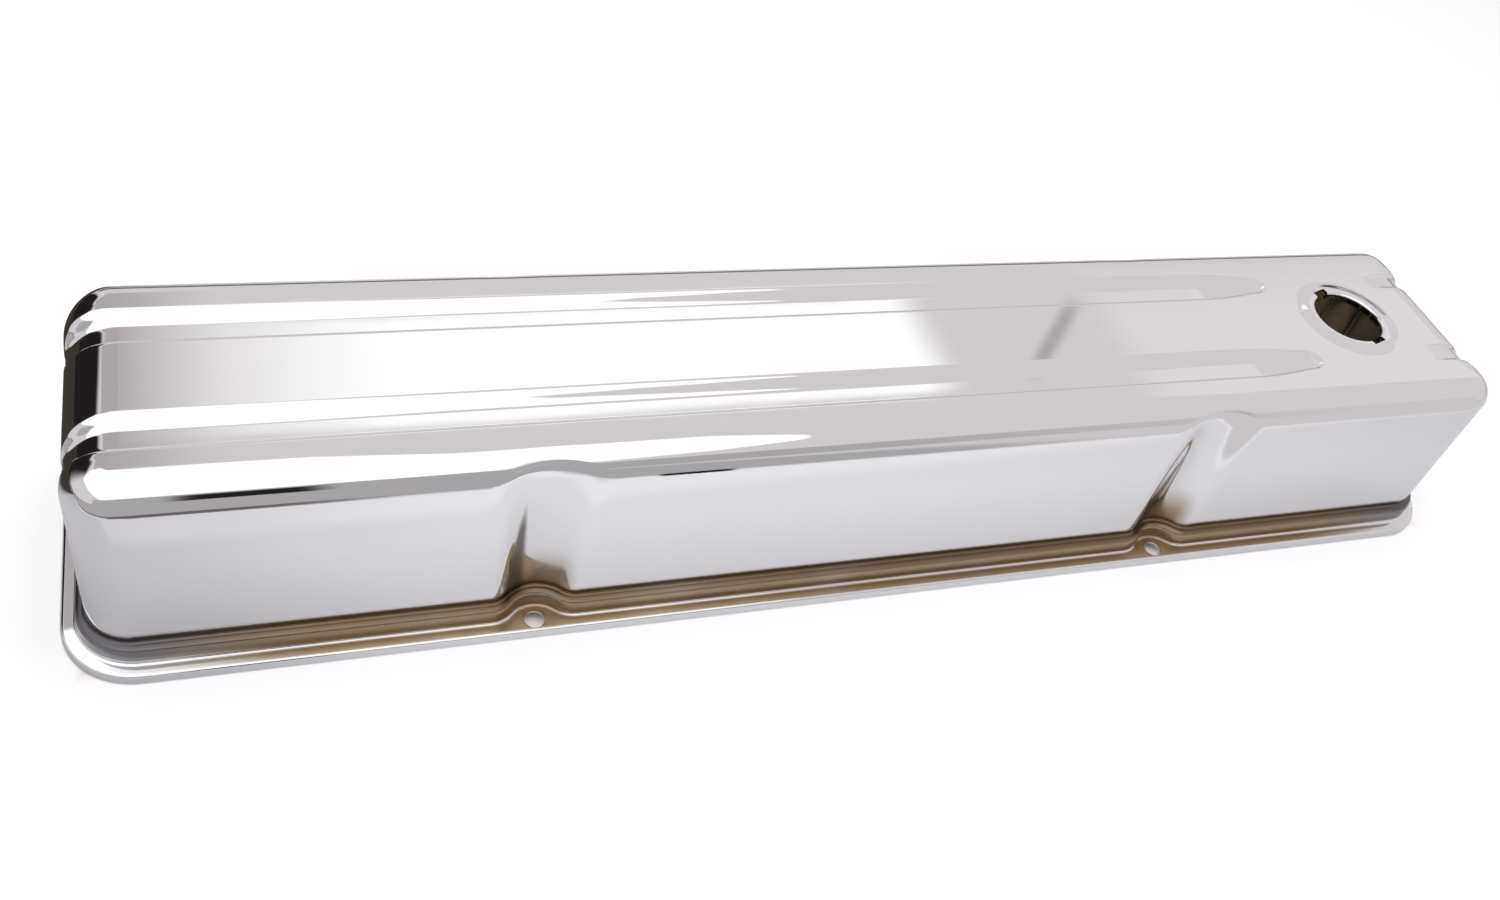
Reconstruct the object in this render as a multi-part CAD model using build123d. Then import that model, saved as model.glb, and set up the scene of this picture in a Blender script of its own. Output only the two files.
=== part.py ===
from build123d import *
import os
from math import asin, atan, cos, degrees, hypot, sin

# Pressed sheet-steel valve cover for an inline six-cylinder engine, in millimetres.
# Frame: X along the cover (filler end at +X), Y across, Z up; Z = 0 is the edge that faces the head.

# sheet
SHEET = 1.2

# flange and its turned-down lip
FLANGE_LENGTH = 665.0
FLANGE_WIDTH = 132.0
FLANGE_CORNER_R = 29.0
FLANGE_TOP_Z = 4.65
LIP_BEND_R = 1.8

# stepped root between the flange and the wall
ROOT_MARGIN = 5.8
STEP_HEIGHT = 8.6
STEP_WIDTH = 3.8
STEP_FOOT_R = 1.4
STEP_EDGE_R = 1.8
WALL_FOOT_R = 1.2

# raised body
TOP_Z = 97.5
TOP_EDGE_R = 11.5
WALL_CORNER_R = 18.0

# two pressed grooves along the top, and their short run over each end
GROOVE_Y = 27.0
GROOVE_WIDTH = 18.0
GROOVE_DEPTH = 4.7
GROOVE_WALL_RUN = 4.3
GROOVE_FLOOR_R = 1.6
GROOVE_END_X = 226.0
GROOVE_END_R = 14.0
GROOVE_END_SWEEP = 78.0
GROOVE_FADE = 18.0
GROOVE_SHALLOWING = 2.3
GROOVE_RESTART_X = 290.0
CUTTER_RISE = 3.0

# wall pinches that clear the bolts
BOLT_X = 154.0
BOLT_MARGIN = 5.8
BOLT_HOLE_R = 4.25
PINCH_DEPTH = 7.6
PINCH_TOP_DEPTH = 3.0
PINCH_HALF_WIDTH = 18.0

# oil filler pad, hole and its two bayonet notches
FILLER_X = 258.0
PAD_TOP_Z = 99.0
PAD_FLAT_R = 24.2
PAD_FOOT_R = 27.2
FILLER_HOLE_R = 17.3
FILLER_NECK_DEPTH = 4.0
FILLER_EDGE_R = 0.9
NOTCH_REACH = 3.0
NOTCH_WIDTH = 8.5
NOTCH_ANGLES = (108.0, 288.0)

# derived
ROOT_HALF_L = FLANGE_LENGTH / 2 - ROOT_MARGIN
ROOT_HALF_W = FLANGE_WIDTH / 2 - ROOT_MARGIN
ROOT_CORNER_R = FLANGE_CORNER_R - ROOT_MARGIN
STEP_TOP_Z = FLANGE_TOP_Z + STEP_HEIGHT
WALL_HALF_L = ROOT_HALF_L - STEP_WIDTH
WALL_HALF_W = ROOT_HALF_W - STEP_WIDTH
BOLT_Y = FLANGE_WIDTH / 2 - BOLT_MARGIN
CORNERS = [(sx, sy) for sx in (-1, 1) for sy in (-1, 1)]


def rounded_block(half_l, half_w, corner_r, height, edge_r, inset):
    """Block with rounded corners and a rounded upper edge, inset on its sides and top."""
    outline = RectangleRounded(2 * (half_l - inset), 2 * (half_w - inset), corner_r - inset)
    block = extrude(outline, height - inset)
    return fillet(block.faces().sort_by(Axis.Z)[-1].edges(), edge_r - inset)


def pinch_bay(depth, shift):
    """Bell-shaped bay; the wall line is the local X axis and the bay goes towards -Y.
    A larger shift makes the same bay seen from further inside the wall."""
    both_radii = (PINCH_HALF_WIDTH**2 + depth**2) / (2 * depth)
    mouth_r = both_radii / 2 - shift
    turn = asin(PINCH_HALF_WIDTH / both_radii)
    knee = (-PINCH_HALF_WIDTH + mouth_r * sin(turn), -mouth_r * (1 - cos(turn)))
    mouth = TangentArc((-PINCH_HALF_WIDTH, 0), knee, tangent=(1, 0))
    bottom = TangentArc(knee, (0, -depth), tangent=mouth % 1)
    half = Curve() + [mouth, bottom]
    outside = Polyline((-PINCH_HALF_WIDTH, 0), (-PINCH_HALF_WIDTH, ROOT_MARGIN),
                       (PINCH_HALF_WIDTH, ROOT_MARGIN), (PINCH_HALF_WIDTH, 0))
    return make_face(half + mirror(half, about=Plane.YZ) + outside)


def at_bolts(shape, wall_y):
    """The shape repeated at the four bolts, turned to face outwards."""
    return [Pos(sx * BOLT_X, sy * wall_y, 0) * Rot(0, 0, 0 if sy > 0 else 180) * shape
            for sx, sy in CORNERS]


def root_step(inset):
    """Low step with the bolt bays in it and a rounded upper edge."""
    outline = RectangleRounded(2 * (ROOT_HALF_L - inset), 2 * (ROOT_HALF_W - inset),
                               ROOT_CORNER_R - inset)
    outline -= at_bolts(pinch_bay(PINCH_DEPTH, inset), ROOT_HALF_W - inset)
    step = extrude(outline, STEP_TOP_Z - inset)
    return fillet(step.faces().sort_by(Axis.Z)[-1].edges(), STEP_EDGE_R - inset)


def groove_section(grow):
    """Trapezoid across a groove, with its origin on the crest line and its floor downwards."""
    slope = GROOVE_WALL_RUN / GROOVE_DEPTH
    half_at_crest = GROOVE_WIDTH / 2 + grow * hypot(1, slope)
    floor = -GROOVE_DEPTH - grow
    half_top = half_at_crest + slope * CUTTER_RISE
    half_floor = half_at_crest + slope * floor
    outline = Polygon((-half_top, CUTTER_RISE), (-half_floor, floor), (half_floor, floor),
                      (half_top, CUTTER_RISE), align=None)
    return fillet(outline.vertices().sort_by(Axis.Y)[:2], GROOVE_FLOOR_R + grow)


def groove_run(bend, length, slope, grow):
    """Channel that comes to the bend at the given downward slope, turns over the end and runs
    out of the wall again."""
    at_bend = Pos(bend[0], GROOVE_Y, bend[1]) * Rot(0, slope, 0)
    section = Plane.YZ * groove_section(grow)
    turned = GROOVE_END_SWEEP - slope
    run = extrude(section, -length)
    over = revolve(section, Axis((0, 0, -GROOVE_END_R), (0, 1, 0)), turned)
    fade = Pos(0, 0, -GROOVE_END_R) * Rot(0, turned, 0) * Pos(0, 0, GROOVE_END_R) * extrude(section, GROOVE_FADE)
    return at_bend * (run + over + fade)


def groove_cutters(inset):
    """Both grooves over the far end, their rounded near ends, and the short restart at +X."""
    bend_x = WALL_HALF_L + GROOVE_SHALLOWING - GROOVE_END_R
    round_x = GROOVE_END_X - GROOVE_WIDTH / 2
    long_run = groove_run((bend_x, TOP_Z), bend_x + round_x, 0, inset)
    half = groove_section(inset) & Pos(GROOVE_WIDTH, 0) * Rectangle(2 * GROOVE_WIDTH, 4 * GROOVE_WIDTH)
    spoon = Pos(round_x, GROOVE_Y, TOP_Z) * revolve(Plane.XZ * half, Axis.Z)
    climb = bend_x - GROOVE_RESTART_X
    slope = degrees(atan((GROOVE_DEPTH - GROOVE_SHALLOWING) / climb))
    restart = groove_run((bend_x, TOP_Z + GROOVE_SHALLOWING), climb, slope, inset)
    near_side = [mirror(s, about=Plane.XZ) for s in (spoon, restart)]
    return [mirror(long_run, about=Plane.YZ), Rot(0, 0, 180) * long_run, spoon, restart] + near_side


def filler_pad(inset):
    """Low round pad that carries the filler hole."""
    low_z = TOP_Z - TOP_EDGE_R
    outline = Polygon((0, low_z), (PAD_FOOT_R - inset, low_z), (PAD_FOOT_R - inset, TOP_Z - inset),
                      (PAD_FLAT_R - inset / 2, PAD_TOP_Z - inset), (0, PAD_TOP_Z - inset), align=None)
    return Pos(FILLER_X, 0, 0) * revolve(Plane.XZ * outline, Axis.Z)


def raised_body(inset):
    """Body with pinches, grooves and filler pad."""
    body = rounded_block(WALL_HALF_L, WALL_HALF_W, WALL_CORNER_R, TOP_Z, TOP_EDGE_R, inset)
    low_bay = pinch_bay(PINCH_DEPTH, STEP_WIDTH + inset)
    high_bay = Pos(0, 0, TOP_Z) * pinch_bay(PINCH_TOP_DEPTH, STEP_WIDTH + inset)
    body -= at_bolts(loft([low_bay, high_bay], ruled=True), WALL_HALF_W - inset)
    body -= groove_cutters(inset)
    return body + filler_pad(inset)


def pressed_form(inset):
    """The whole pressing as a solid; inset 0 is its outside and inset SHEET its inside."""
    step = root_step(inset)
    body = raised_body(inset)
    raised = step + body
    raised = fillet(new_edges(step, body, combined=raised), WALL_FOOT_R + inset)
    flange = rounded_block(FLANGE_LENGTH / 2, FLANGE_WIDTH / 2, FLANGE_CORNER_R, FLANGE_TOP_Z,
                           LIP_BEND_R, inset)
    form = flange + raised
    return fillet(new_edges(flange, raised, combined=form), STEP_FOOT_R + inset)


def filler_opening(shell):
    """Adds the turned-in neck, then cuts the hole and its notches."""
    neck_z = PAD_TOP_Z - FILLER_NECK_DEPTH
    spot = Pos(FILLER_X, 0, neck_z)
    up = (Align.CENTER, Align.CENTER, Align.MIN)
    shell += spot * Cylinder(FILLER_HOLE_R + SHEET, FILLER_NECK_DEPTH, align=up)
    shell -= spot * Cylinder(FILLER_HOLE_R, 2 * FILLER_NECK_DEPTH, align=up)
    rim = shell.edges().filter_by(GeomType.CIRCLE).filter_by(
        lambda e: abs(e.radius - FILLER_HOLE_R) < 1e-3 and e.center().Z > TOP_Z)
    shell = fillet(rim, FILLER_EDGE_R)
    notch = Box(FILLER_HOLE_R + NOTCH_REACH, NOTCH_WIDTH, 2 * FILLER_NECK_DEPTH,
                align=(Align.MIN, Align.CENTER, Align.MIN))
    return shell - [spot * Rot(0, 0, a) * notch for a in NOTCH_ANGLES]


def valve_cover():
    shell = pressed_form(0) - pressed_form(SHEET)
    shell = filler_opening(shell)
    drill = Pos(0, 0, FLANGE_TOP_Z - SHEET) * Cylinder(BOLT_HOLE_R, 3 * SHEET)
    return shell - [Pos(sx * BOLT_X, sy * BOLT_Y, 0) * drill for sx, sy in CORNERS]


os.makedirs("parts", exist_ok=True)
export_step(valve_cover(), "parts/valve_cover.step")
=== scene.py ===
# %% [markdown]
# # A chrome-plated valve cover
# The cover of an inline-six engine is one sheet of steel, drawn in a press and then chrome
# plated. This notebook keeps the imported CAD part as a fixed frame, builds a finer skin of the
# same pressing around it, plates it, and stands it on a white table under soft light.

# %% Load the frame
import math

import bmesh
import bpy
import numpy as np
from mathutils import Matrix, Vector


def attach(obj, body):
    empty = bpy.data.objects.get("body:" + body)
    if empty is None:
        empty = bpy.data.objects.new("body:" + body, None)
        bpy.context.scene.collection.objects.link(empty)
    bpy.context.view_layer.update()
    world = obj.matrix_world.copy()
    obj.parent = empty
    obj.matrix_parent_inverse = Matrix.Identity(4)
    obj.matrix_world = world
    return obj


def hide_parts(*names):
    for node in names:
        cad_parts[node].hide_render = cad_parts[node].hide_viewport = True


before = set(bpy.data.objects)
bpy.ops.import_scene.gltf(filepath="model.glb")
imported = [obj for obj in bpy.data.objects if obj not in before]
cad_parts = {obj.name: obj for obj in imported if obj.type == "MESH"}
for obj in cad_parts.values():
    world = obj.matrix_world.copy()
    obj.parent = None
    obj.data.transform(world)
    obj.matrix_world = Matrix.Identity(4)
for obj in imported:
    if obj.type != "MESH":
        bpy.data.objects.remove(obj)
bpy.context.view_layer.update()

# %% [markdown]
# ## Sizes of the pressing
# A press tool is drawn from a few numbers: the flange, the low step round the root, the wall,
# and the radii between them. The skin could be read off the CAD mesh, but its triangles are
# too coarse for a mirror finish, which shows every facet. So the sizes are named here again,
# in millimetres, and the skin is worked out from them. The rounded edge is bigger at the two
# ends of the cover than along its sides.

# %% Sizes
MM = 0.001
SHEET = 1.2
FLANGE_HALF_L, FLANGE_HALF_W, FLANGE_CORNER_R = 332.5, 66.0, 29.0
FLANGE_TOP, LIP_BEND_R = 4.65, 1.8
STEP_INSET, STEP_FOOT_R, STEP_EDGE_R, STEP_TOP = 5.8, 1.4, 2.4, 13.25
WALL_HALF_L, WALL_HALF_W, WALL_CORNER_R, WALL_FOOT_R = 322.9, 56.4, 18.0, 1.2
TOP, TOP_EDGE_R, CORNER_EDGE_R, END_EDGE_R = 97.5, 11.5, 17.0, 20.0
BOLT_X, BOLT_Y, BOLT_HOLE_R = 154.0, 60.2, 4.25
STEP_HALF_W = FLANGE_HALF_W - STEP_INSET
WALL_TOP = TOP - TOP_EDGE_R

# %% [markdown]
# ## How the skin is laid out
# The skin is a flat grid on top, edged by rings that run over the rounded edge, down the wall
# and out to the lip. Every ring has the same number of points, one for each point on the edge
# of the grid and a few more round its corners, so the quads flow straight from the top to the
# lip and a reflection has nothing to catch on. Lines are close together only where the sheet
# bends.

# %% Lines along and across the cover
def lines(*runs):
    """Positions from runs of (start, end, spacing), each end shared with the next start."""
    found = [runs[0][0]]
    for start, end, spacing in runs:
        count = max(1, round((end - start) / spacing))
        found += list(np.linspace(start, end, count + 1)[1:])
    return np.array(found)


FILLER_X, PATCH_HALF = 258.0, 30.0
STRAIGHT_L = WALL_HALF_L - WALL_CORNER_R
STRAIGHT_W = WALL_HALF_W - WALL_CORNER_R
BAY_REACH, SPOON_LINES_X, GRID_HALF_L = 26, 206, 300.0
GROOVE_LINES_LOW, GROOVE_LINES_HIGH = 17, 36.9
BAY_LOW, BAY_HIGH = BOLT_X - BAY_REACH, BOLT_X + BAY_REACH
PATCH_LOW, PATCH_HIGH = FILLER_X - PATCH_HALF, FILLER_X + PATCH_HALF
along = lines((-GRID_HALF_L, -BAY_HIGH, 7), (-BAY_HIGH, -BAY_LOW, 1.3), (-BAY_LOW, BAY_LOW, 9),
              (BAY_LOW, BAY_HIGH, 1.3), (BAY_HIGH, SPOON_LINES_X, 5), (SPOON_LINES_X, PATCH_LOW, 1),
              (PATCH_LOW, PATCH_HIGH, 2.5), (PATCH_HIGH, GRID_HALF_L, 1.5))
half_across = lines((0, GROOVE_LINES_LOW, 2.8), (GROOVE_LINES_LOW, PATCH_HALF, 0.6),
                    (PATCH_HALF, GROOVE_LINES_HIGH, 0.6), (GROOVE_LINES_HIGH, STRAIGHT_W, 1.5))
across = np.concatenate([-half_across[:0:-1], half_across])
print(len(along), "lines along,", len(across), "lines across")

# %% [markdown]
# ## The section of the pressing
# Cut through, the cover is a chain of straight runs and quarter bends: the rounded top edge,
# the wall, the low step and the flange with its lip turned down. A profile swept round the
# cover would do it, but the bays and grooves have to change it on the way, so it is kept as
# rows of numbers. Each row holds how far the point stands out from the straight core of the
# cover, its height, and which way the sheet faces there.

# %% Section from the crest to the lip
BEND_STEPS = 4


def bend(centre_out, centre_z, radius, start, end, steps=BEND_STEPS):
    """Points (out, z, facing) round a bend; angles in degrees above the horizontal."""
    turn = np.radians(np.linspace(start, end, steps + 1))
    return [(centre_out + radius * math.cos(a), centre_z + radius * math.sin(a), abs(a))
            for a in turn]


def hollow(centre_out, centre_z, radius, steps=BEND_STEPS):
    """Points round a hollow bend that goes from a wall out to a flat."""
    turn = np.radians(np.linspace(0, 90, steps + 1))
    return [(centre_out - radius * math.cos(a), centre_z - radius * math.sin(a), a)
            for a in turn]


UP = math.radians(90)
SUPPORT, CREST_SUPPORT = 0.35, 0.8
EDGE_STEPS = 16
WALL_LINES = (84, 81, 77.5, 74, 68, 58, 46, 34, 24)
crest_out = WALL_CORNER_R - TOP_EDGE_R
body_rings = [(crest_out - CREST_SUPPORT, TOP, UP)]
body_rings += bend(crest_out, WALL_TOP, TOP_EDGE_R, 90, 0, EDGE_STEPS)
body_rings += [(WALL_CORNER_R, z, 0.0) for z in WALL_LINES]
foot_z = STEP_TOP + WALL_FOOT_R
body_rings += [(WALL_CORNER_R, foot_z + SUPPORT, 0.0)]
body_rings += hollow(WALL_CORNER_R + WALL_FOOT_R, foot_z, WALL_FOOT_R)

step_out = STEP_HALF_W - STRAIGHT_W
lip_out = FLANGE_HALF_W - STRAIGHT_W
root_rings = bend(step_out - STEP_EDGE_R, STEP_TOP - STEP_EDGE_R, STEP_EDGE_R, 90, 0)
root_rings += hollow(step_out + STEP_FOOT_R, FLANGE_TOP + STEP_FOOT_R, STEP_FOOT_R)
lip_rings = bend(lip_out - LIP_BEND_R, FLANGE_TOP - LIP_BEND_R, LIP_BEND_R, 90, 0)
lip_rings += [(lip_out, FLANGE_TOP - LIP_BEND_R - SUPPORT, 0.0), (lip_out, 0.0, 0.0)]
print("rings on the body, root and lip:", len(body_rings), len(root_rings), len(lip_rings))

# %% [markdown]
# ## The pinches
# Four bays are pushed into the wall so that a socket can reach the bolts. Seen from above a
# bay is a bell: two outer arcs and one inner arc that meet smoothly. It is deepest at the
# flange; towards the top it gets shallower and wider, and it runs softly into the rounded
# edge. Cutting a cylinder out of the wall would leave a hard rim, so the depth is worked out
# for each point and the point is moved inwards by it.

# %% Depth of a bay
PINCH_DEPTH, PINCH_TOP_DEPTH = 7.6, 3.0
PINCH_HALF, PINCH_TOP_HALF = 18.0, 24.0
SOFTNESS = 3.0


def bell(x, depth, half, shift):
    """Depth of a bell-shaped bay at x from its centre, on a line shifted inwards."""
    radii = (half**2 + depth**2) / (2 * depth)
    mouth_r, inner_r = radii / 2 - shift, radii / 2 + shift
    x = np.abs(x)
    mouth = mouth_r - np.sqrt(np.maximum(mouth_r**2 - (half - x) ** 2, 0))
    inner = depth - inner_r + np.sqrt(np.maximum(inner_r**2 - x**2, 0))
    knee = half - mouth_r * half / radii
    return np.where(x >= half, 0, np.where(x > knee, mouth, inner))


def bay(x, shift):
    """Depth of both bays of a side in the root, at x along the cover."""
    return bell(np.abs(x) - BOLT_X, PINCH_DEPTH, PINCH_HALF, shift)


def wall_bay(x, z):
    """Depth of the bays in the wall, less deep and wider towards the top."""
    rise = np.clip((z - STEP_TOP) / (WALL_TOP - STEP_TOP), 0, 1)
    depth = PINCH_DEPTH - (PINCH_DEPTH - PINCH_TOP_DEPTH) * rise
    half = PINCH_HALF + (PINCH_TOP_HALF - PINCH_HALF) * rise
    return bell(np.abs(x) - BOLT_X, depth, half, STEP_HALF_W - WALL_HALF_W)


print("bay depth at the foot", round(float(wall_bay(BOLT_X, foot_z)), 2), "mm")

# %% [markdown]
# ## The grooves
# Two grooves stiffen the top. Across, each is a flat floor between two sides in a smooth S.
# Along, it rises gently and ends in a round spoon before the filler, then starts again as a
# shallow crease near the filler end. Both run over the ends of the cover and fade out on the
# wall. As with the bays, one rule gives the depth anywhere, so the same groove can be pressed
# into the flat top and into the rounded end.

# %% Depth of the grooves
GROOVE_Y, GROOVE_FLOOR_HALF, GROOVE_DEPTH, GROOVE_SLOPE = 27.0, 4.7, 4.7, 4.3 / 4.7
TAPER_X, TAPER_END_X, TAPER_SHARE, SPOON_X = 184.0, 225.0, 0.86, 217.0
LONG_END_X, RESTART_X, RESTART_FULL_X, END_DEPTH = 270.0, 290.0, 311.2, 1.3
FADE_LENGTH = 11.3
SIDE_SPREAD = 0.35
NOT_ZERO = 1e-9


def eased(share, full=1.0):
    """A smooth rise from 0 to full, as share goes from 0 to 1."""
    return full * share**2 * (3 - 2 * share)


def pressed(distance, floor_half, slope, depth):
    """Depth at a distance from the middle of a pressing: flat floor, sides in a smooth S."""
    run = slope * depth + NOT_ZERO
    share = np.clip((floor_half + SIDE_SPREAD + run - distance) / (run + 2 * SIDE_SPREAD), 0, 1)
    return eased(share, depth)


def groove_depth(x, y, facing, z):
    """Depth of the grooves at a point of the skin, along the way that the sheet faces."""
    off = np.abs(y) - GROOVE_Y
    past_spoon = np.maximum(x - SPOON_X, 0)
    turned = 1 - np.sin(facing)
    fade = np.clip(1 - (WALL_TOP - z) / FADE_LENGTH, 0, 1)
    taper = np.clip((x - TAPER_X) / (TAPER_END_X - TAPER_X), 0, 1)
    long_depth = (GROOVE_DEPTH - (GROOVE_DEPTH - END_DEPTH) * turned) * fade
    long_depth = long_depth * (1 - eased(taper, TAPER_SHARE))
    restart_depth = END_DEPTH * np.clip((x - RESTART_X) / (RESTART_FULL_X - RESTART_X), 0, 1) * fade
    long_run = pressed(np.hypot(off, past_spoon), GROOVE_FLOOR_HALF, GROOVE_SLOPE, long_depth)
    restart = pressed(np.abs(off), GROOVE_FLOOR_HALF, GROOVE_SLOPE, restart_depth)
    return np.where(x < LONG_END_X, long_run, np.where(x > RESTART_X, restart, 0))


print("groove floor at", round(float(groove_depth(0.0, GROOVE_Y, UP, TOP)), 2), "mm down")

# %% [markdown]
# ## The filler pad
# The oil filler sits on a low round pad, which swells softly out of the flat top, and the
# sheet is turned down round the hole as a short neck. A hole cut in a flat grid would have a
# jagged rim, so a square of the grid is left out and filled with rings that go from the
# square to the neck.

# %% Section of the filler pad
PAD_HEIGHT, PAD_FLAT_R, PAD_SLOPE, PAD_TOP = 1.5, 20.0, 4.7, 99.0
HOLE_R, NECK_DEPTH, RIM_R, RIM_SUPPORT = 17.3, 4.0, 1.5, 0.3
RING_FIRST_R, RING_LAST_R, RING_STEP = 29.2, 19.4, -0.4
pad_radii = np.concatenate([np.arange(RING_FIRST_R, RING_LAST_R, RING_STEP),
                            [HOLE_R + RIM_R + RIM_SUPPORT]])
pad_rings = [(r, TOP + float(pressed(r, PAD_FLAT_R, PAD_SLOPE, np.float64(PAD_HEIGHT))))
             for r in pad_radii]
rim_turn = np.radians(np.linspace(90, 0, BEND_STEPS + 1))
pad_rings += [(HOLE_R + RIM_R - RIM_R * math.cos(a), PAD_TOP - RIM_R + RIM_R * math.sin(a))
              for a in rim_turn]
pad_rings += [(HOLE_R, PAD_TOP - RIM_R - SUPPORT), (HOLE_R, PAD_TOP - NECK_DEPTH)]
print(len(pad_rings), "rings on the filler pad")

# %% [markdown]
# ## Points and faces
# The real sheet is drawn in one stroke, so the skin is one mesh too. The straight core of the
# cover gives each ring its plan: straight sides and ends with a round corner between them.
# Every point goes out from the core by its row of the section, the ends get a bigger rounding
# than the sides, and the bays and grooves move it last. Numbers alone make the faces, because
# modelling tools would leave seams that a mirror shows.

# %% Points of one ring
END_BLEND = 9.0
FULLY = 0.999
CORNER_STEPS = 14


def edge_loop():
    """The edge of the grid, anticlockwise: (grid x, grid y, outward x, outward y) rows."""
    rows = []
    corner = np.radians(np.linspace(0, 90, CORNER_STEPS + 1)[1:-1])
    rows += [(STRAIGHT_L, y, 1, 0) for y in across]
    rows += [(STRAIGHT_L, STRAIGHT_W, math.cos(a), math.sin(a)) for a in corner]
    rows += [(x, STRAIGHT_W, 0, 1) for x in along[::-1]]
    rows += [(-STRAIGHT_L, STRAIGHT_W, -math.sin(a), math.cos(a)) for a in corner]
    rows += [(-STRAIGHT_L, y, -1, 0) for y in across[::-1]]
    rows += [(-STRAIGHT_L, -STRAIGHT_W, -math.cos(a), -math.sin(a)) for a in corner]
    rows += [(x, -STRAIGHT_W, 0, -1) for x in along]
    rows += [(STRAIGHT_L, -STRAIGHT_W, math.sin(a), -math.cos(a)) for a in corner]
    return np.array(rows)


def rounder_at_ends(core_y, endwise, out, z, facing):
    """The edge and wall of a section, where the sheet faces partly or fully endwise."""
    turn = np.arcsin(np.clip(endwise, 0, 1)) / UP
    along_end = np.clip((STRAIGHT_W - np.abs(core_y)) / END_BLEND, 0, 1)
    grown = eased(turn, CORNER_EDGE_R - TOP_EDGE_R)
    grown = grown + eased(along_end, END_EDGE_R - CORNER_EDGE_R) * (endwise > FULLY)
    if facing > 0 and z > WALL_TOP:
        return out - grown * (1 - math.cos(facing)), z - grown * (1 - math.sin(facing))
    share = np.clip((z - foot_z) / (WALL_TOP - foot_z), 0, 1)
    return out + 0 * turn, z - grown * share


def ring_points(loop, out, z, facing, part):
    """One ring of the skin. The part says which bays it follows: body, root or lip."""
    core_x, core_y, out_x, out_y = loop.T
    if part == "body":
        out, z = rounder_at_ends(core_y, np.abs(out_x), out, z, facing)
    if part != "body":
        core_x = np.clip(core_x, FLANGE_CORNER_R - FLANGE_HALF_L, FLANGE_HALF_L - FLANGE_CORNER_R)
        core_y = np.clip(core_y, FLANGE_CORNER_R - FLANGE_HALF_W, FLANGE_HALF_W - FLANGE_CORNER_R)
        out = out + STRAIGHT_W - (FLANGE_HALF_W - FLANGE_CORNER_R)
    x, y = core_x + out_x * out, core_y + out_y * out
    on_side = np.abs(out_y) > FULLY
    if part == "body":
        rounding = WALL_HALF_W - np.abs(y)
        depth = wall_bay(x, z)
        inward = (np.abs(rounding) ** SOFTNESS + depth**SOFTNESS) ** (1 / SOFTNESS)
        inward = np.where(rounding > 0, inward, depth + rounding)
        y = np.where(on_side, np.sign(out_y) * (WALL_HALF_W - inward), y)
    if part == "root":
        shift = STEP_HALF_W - np.abs(y)
        y = np.where(on_side, y - np.sign(out_y) * bay(x, np.where(on_side, shift, 0)), y)
    z = z + 0 * x  # one height for each point
    if part == "body":
        on_end = np.abs(out_x) > FULLY
        depth = np.where(on_end, groove_depth(x, y, facing, z), 0)
        x = x - out_x * math.cos(facing) * depth
        z = z - math.sin(facing) * depth
    return np.column_stack([x, y, z])


loop = edge_loop()
print(len(loop), "points in each ring")

# %% [markdown]
# Faces only need to know which points they join. The flat top is a plain grid with the filler's
# square left out, and each ring is joined to the next by quads, outwards to the lip and inwards
# to the neck. Points that no face uses are removed last, so the mesh is clean before it gets
# its thickness.

# %% Faces and the whole skin
def quads(inner, outer):
    """Faces between two closed rings of point numbers; a shared point makes a triangle."""
    faces = []
    for a, b, c, d in zip(inner, outer, np.roll(outer, -1), np.roll(inner, -1)):
        faces.append([a, b, c] if a == d else [a, b, c, d])
    return faces


def top_grid():
    """Points and faces of the flat top with its grooves, leaving out the filler's square."""
    x, y = np.meshgrid(along, across, indexing="ij")
    z = TOP - groove_depth(x, y, UP, TOP + 0 * x)
    points = np.column_stack([x.ravel(), y.ravel(), z.ravel()])
    number = np.arange(points.shape[0]).reshape(x.shape)
    middle_x = (along[1:] + along[:-1]) / 2 - FILLER_X
    middle_y = (across[1:] + across[:-1]) / 2
    kept = (np.abs(middle_x)[:, None] > PATCH_HALF) | (np.abs(middle_y)[None] > PATCH_HALF)
    corners = [number[:-1, :-1], number[1:, :-1], number[1:, 1:], number[:-1, 1:]]
    return points, [list(f) for f in np.stack([c[kept] for c in corners], axis=1)], number


def square_loop(number):
    """Point numbers round the filler's square, anticlockwise."""
    i0, i1 = (int(np.abs(along - FILLER_X - s * PATCH_HALF).argmin()) for s in (-1, 1))
    j0, j1 = (int(np.abs(across - s * PATCH_HALF).argmin()) for s in (-1, 1))
    return np.concatenate([number[i1, j0:j1], number[i1:i0:-1, j1],
                           number[i0, j1:j0:-1], number[i0:i1, j0]])


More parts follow.
